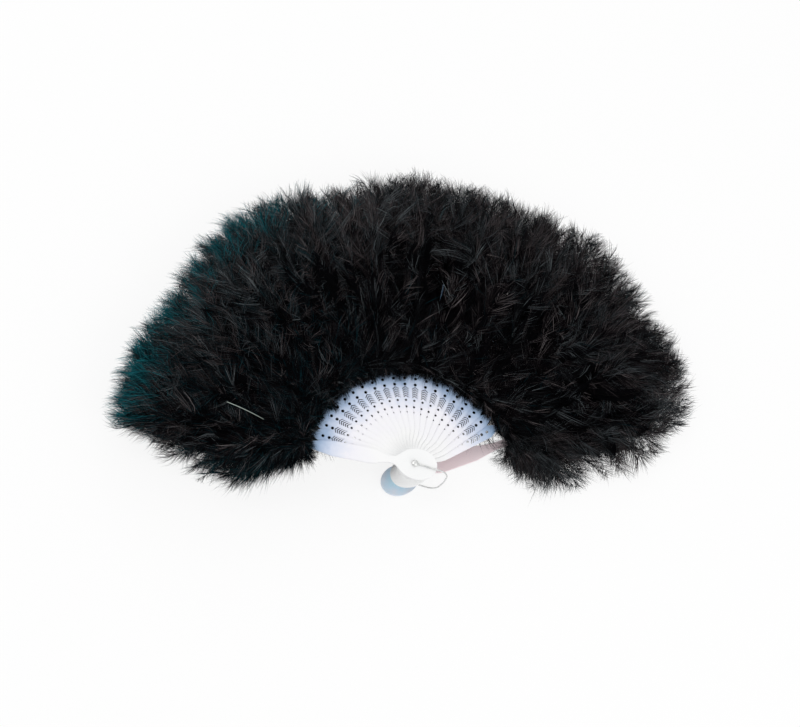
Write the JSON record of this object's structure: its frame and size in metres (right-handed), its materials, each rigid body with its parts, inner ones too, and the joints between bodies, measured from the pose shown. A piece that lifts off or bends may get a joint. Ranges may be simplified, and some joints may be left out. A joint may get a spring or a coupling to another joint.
{
  "type": "folding feather fan",
  "caption": "Open folding hand fan with pierced plastic sticks on a rivet, a soft feather fringe on the outer ends, and a small wire bail to hang it by.",
  "frame": {"origin": "centre of the flat lower end of the rivet, on the axis that every blade turns about; the fan lies on z = 0", "axes": "+Z along the rivet, away from the table; +Y from the rivet to the middle of the feather fringe; +X towards the rear guard's side"},
  "size_m": [0.5245, 0.2942, 0.0718],
  "materials": {
    "moulded_plastic": "satin moulded",
    "marabou": "soft dyed plumes",
    "plated_wire": "nickel plated"
  },
  "bodies": {
    "rear_guard": {"rear_guard": "moulded_plastic", "rear_guard_tuft": "marabou", "rivet": "plated_wire"},
    "front_guard": {"front_guard": "moulded_plastic", "front_guard_tuft": "marabou"},
    "stick_01": {"stick_01": "moulded_plastic", "stick_01_tuft": "marabou"},
    "stick_02": {"stick_02": "moulded_plastic", "stick_02_tuft": "marabou"},
    "stick_03": {"stick_03": "moulded_plastic", "stick_03_tuft": "marabou"},
    "stick_04": {"stick_04": "moulded_plastic", "stick_04_tuft": "marabou"},
    "stick_05": {"stick_05": "moulded_plastic", "stick_05_tuft": "marabou"},
    "stick_06": {"stick_06": "moulded_plastic", "stick_06_tuft": "marabou"},
    "stick_07": {"stick_07": "moulded_plastic", "stick_07_tuft": "marabou"},
    "stick_08": {"stick_08": "moulded_plastic", "stick_08_tuft": "marabou"},
    "stick_09": {"stick_09": "moulded_plastic", "stick_09_tuft": "marabou"},
    "stick_10": {"stick_10": "moulded_plastic", "stick_10_tuft": "marabou"},
    "stick_11": {"stick_11": "moulded_plastic", "stick_11_tuft": "marabou"},
    "stick_12": {"stick_12": "moulded_plastic", "stick_12_tuft": "marabou"},
    "stick_13": {"stick_13": "moulded_plastic", "stick_13_tuft": "marabou"},
    "stick_14": {"stick_14": "moulded_plastic", "stick_14_tuft": "marabou"},
    "stick_15": {"stick_15": "moulded_plastic", "stick_15_tuft": "marabou"},
    "stick_16": {"stick_16": "moulded_plastic", "stick_16_tuft": "marabou"},
    "stick_17": {"stick_17": "moulded_plastic", "stick_17_tuft": "marabou"},
    "stick_18": {"stick_18": "moulded_plastic", "stick_18_tuft": "marabou"},
    "stick_19": {"stick_19": "moulded_plastic", "stick_19_tuft": "marabou"},
    "stick_20": {"stick_20": "moulded_plastic", "stick_20_tuft": "marabou"},
    "bail": {"bail": "plated_wire"}
  },
  "joints": [
    {"name": "front_guard_fold", "type": "hinge", "parent": "rear_guard", "child": "front_guard", "pos_m": [0, 0, 0.0545], "axis": [0, 0, 1], "range_deg": [-150, 0], "deforming": ["front_guard_tuft", "rear_guard_tuft"]},
    {"name": "stick_01_fold", "type": "hinge", "parent": "rear_guard", "child": "stick_01", "pos_m": [0, 0, 0.0526], "axis": [0, 0, 1], "range_deg": [-142.86, 0], "deforming": ["stick_01_tuft"]},
    {"name": "stick_02_fold", "type": "hinge", "parent": "rear_guard", "child": "stick_02", "pos_m": [0, 0, 0.0513], "axis": [0, 0, 1], "range_deg": [-135.72, 0], "deforming": ["stick_02_tuft"]},
    {"name": "stick_03_fold", "type": "hinge", "parent": "rear_guard", "child": "stick_03", "pos_m": [0, 0, 0.05], "axis": [0, 0, 1], "range_deg": [-128.58, 0], "deforming": ["stick_03_tuft"]},
    {"name": "stick_04_fold", "type": "hinge", "parent": "rear_guard", "child": "stick_04", "pos_m": [0, 0, 0.0487], "axis": [0, 0, 1], "range_deg": [-121.43, 0], "deforming": ["stick_04_tuft"]},
    {"name": "stick_05_fold", "type": "hinge", "parent": "rear_guard", "child": "stick_05", "pos_m": [0, 0, 0.0474], "axis": [0, 0, 1], "range_deg": [-114.29, 0], "deforming": ["stick_05_tuft"]},
    {"name": "stick_06_fold", "type": "hinge", "parent": "rear_guard", "child": "stick_06", "pos_m": [0, 0, 0.0461], "axis": [0, 0, 1], "range_deg": [-107.15, 0], "deforming": ["stick_06_tuft"]},
    {"name": "stick_07_fold", "type": "hinge", "parent": "rear_guard", "child": "stick_07", "pos_m": [0, 0, 0.0448], "axis": [0, 0, 1], "range_deg": [-100, 0], "deforming": ["stick_07_tuft"]},
    {"name": "stick_08_fold", "type": "hinge", "parent": "rear_guard", "child": "stick_08", "pos_m": [0, 0, 0.0435], "axis": [0, 0, 1], "range_deg": [-92.86, 0], "deforming": ["stick_08_tuft"]},
    {"name": "stick_09_fold", "type": "hinge", "parent": "rear_guard", "child": "stick_09", "pos_m": [0, 0, 0.0422], "axis": [0, 0, 1], "range_deg": [-85.72, 0], "deforming": ["stick_09_tuft"]},
    {"name": "stick_10_fold", "type": "hinge", "parent": "rear_guard", "child": "stick_10", "pos_m": [0, 0, 0.0409], "axis": [0, 0, 1], "range_deg": [-78.58, 0], "deforming": ["stick_10_tuft"]},
    {"name": "stick_11_fold", "type": "hinge", "parent": "rear_guard", "child": "stick_11", "pos_m": [0, 0, 0.0396], "axis": [0, 0, 1], "range_deg": [-71.43, 0], "deforming": ["stick_11_tuft"]},
    {"name": "stick_12_fold", "type": "hinge", "parent": "rear_guard", "child": "stick_12", "pos_m": [0, 0, 0.0383], "axis": [0, 0, 1], "range_deg": [-64.29, 0], "deforming": ["stick_12_tuft"]},
    {"name": "stick_13_fold", "type": "hinge", "parent": "rear_guard", "child": "stick_13", "pos_m": [0, 0, 0.037], "axis": [0, 0, 1], "range_deg": [-57.15, 0], "deforming": ["stick_13_tuft"]},
    {"name": "stick_14_fold", "type": "hinge", "parent": "rear_guard", "child": "stick_14", "pos_m": [0, 0, 0.0357], "axis": [0, 0, 1], "range_deg": [-50, 0], "deforming": ["stick_14_tuft"]},
    {"name": "stick_15_fold", "type": "hinge", "parent": "rear_guard", "child": "stick_15", "pos_m": [0, 0, 0.0344], "axis": [0, 0, 1], "range_deg": [-42.86, 0], "deforming": ["stick_15_tuft"]},
    {"name": "stick_16_fold", "type": "hinge", "parent": "rear_guard", "child": "stick_16", "pos_m": [0, 0, 0.0331], "axis": [0, 0, 1], "range_deg": [-35.72, 0], "deforming": ["stick_16_tuft"]},
    {"name": "stick_17_fold", "type": "hinge", "parent": "rear_guard", "child": "stick_17", "pos_m": [0, 0, 0.0318], "axis": [0, 0, 1], "range_deg": [-28.58, 0], "deforming": ["stick_17_tuft"]},
    {"name": "stick_18_fold", "type": "hinge", "parent": "rear_guard", "child": "stick_18", "pos_m": [0, 0, 0.0305], "axis": [0, 0, 1], "range_deg": [-21.43, 0], "deforming": ["stick_18_tuft"]},
    {"name": "stick_19_fold", "type": "hinge", "parent": "rear_guard", "child": "stick_19", "pos_m": [0, 0, 0.0292], "axis": [0, 0, 1], "range_deg": [-14.29, 0], "deforming": ["stick_19_tuft"]},
    {"name": "stick_20_fold", "type": "hinge", "parent": "rear_guard", "child": "stick_20", "pos_m": [0, 0, 0.0279], "axis": [0, 0, 1], "range_deg": [-7.15, 0], "deforming": ["stick_20_tuft"]},
    {"name": "bail_swing", "type": "hinge", "parent": "rear_guard", "child": "bail", "pos_m": [0, 0, 0.02925], "axis": [0, 0, 1], "range_deg": [-146, 16]}
  ],
  "couplings": [
    {"joint": "stick_01_fold", "follows": "front_guard_fold", "ratio": 0.95238},
    {"joint": "stick_02_fold", "follows": "front_guard_fold", "ratio": 0.90476},
    {"joint": "stick_03_fold", "follows": "front_guard_fold", "ratio": 0.85714},
    {"joint": "stick_04_fold", "follows": "front_guard_fold", "ratio": 0.80952},
    {"joint": "stick_05_fold", "follows": "front_guard_fold", "ratio": 0.76191},
    {"joint": "stick_06_fold", "follows": "front_guard_fold", "ratio": 0.71429},
    {"joint": "stick_07_fold", "follows": "front_guard_fold", "ratio": 0.66667},
    {"joint": "stick_08_fold", "follows": "front_guard_fold", "ratio": 0.61905},
    {"joint": "stick_09_fold", "follows": "front_guard_fold", "ratio": 0.57143},
    {"joint": "stick_10_fold", "follows": "front_guard_fold", "ratio": 0.52381},
    {"joint": "stick_11_fold", "follows": "front_guard_fold", "ratio": 0.47619},
    {"joint": "stick_12_fold", "follows": "front_guard_fold", "ratio": 0.42857},
    {"joint": "stick_13_fold", "follows": "front_guard_fold", "ratio": 0.38095},
    {"joint": "stick_14_fold", "follows": "front_guard_fold", "ratio": 0.33333},
    {"joint": "stick_15_fold", "follows": "front_guard_fold", "ratio": 0.28571},
    {"joint": "stick_16_fold", "follows": "front_guard_fold", "ratio": 0.2381},
    {"joint": "stick_17_fold", "follows": "front_guard_fold", "ratio": 0.19048},
    {"joint": "stick_18_fold", "follows": "front_guard_fold", "ratio": 0.14286},
    {"joint": "stick_19_fold", "follows": "front_guard_fold", "ratio": 0.095238},
    {"joint": "stick_20_fold", "follows": "front_guard_fold", "ratio": 0.047619}
  ]
}
